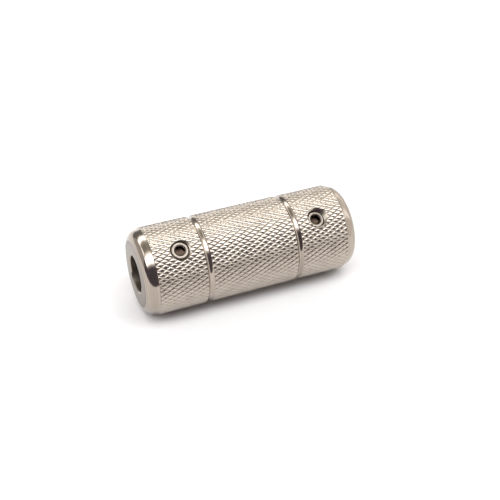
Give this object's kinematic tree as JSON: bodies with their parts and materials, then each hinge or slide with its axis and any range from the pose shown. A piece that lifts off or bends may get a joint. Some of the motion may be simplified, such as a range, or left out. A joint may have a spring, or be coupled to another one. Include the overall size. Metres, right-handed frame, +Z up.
{
  "type": "knurled tube grip",
  "caption": "Knurled steel sleeve with rounded shoulders, plain grooves and a through bore; a radial set screw near each end clamps a tube.",
  "frame": {"origin": "on the bore axis at mid-length", "axes": "+X along the bore towards the rear end, +Z up as the grip lies on its side; both set screws lean 35 degrees from +Z towards -Y"},
  "size_m": [0.048, 0.019, 0.019],
  "materials": {
    "knurled_steel": "diamond-knurled bands, turned and polished shoulders and grooves",
    "screw_steel": "turned, bright"
  },
  "bodies": {
    "grip": {"grip_body": "knurled_steel"},
    "front_screw": {"front_set_screw": "screw_steel"},
    "rear_screw": {"rear_set_screw": "screw_steel"}
  },
  "joints": [
    {"name": "front_screw_travel", "type": "slide", "parent": "grip", "child": "front_screw", "axis": [0, -0.5736, 0.8192], "range_m": [-0.0021, 0.0028]},
    {"name": "rear_screw_travel", "type": "slide", "parent": "grip", "child": "rear_screw", "axis": [0, -0.5736, 0.8192], "range_m": [-0.0014, 0.0035]}
  ]
}
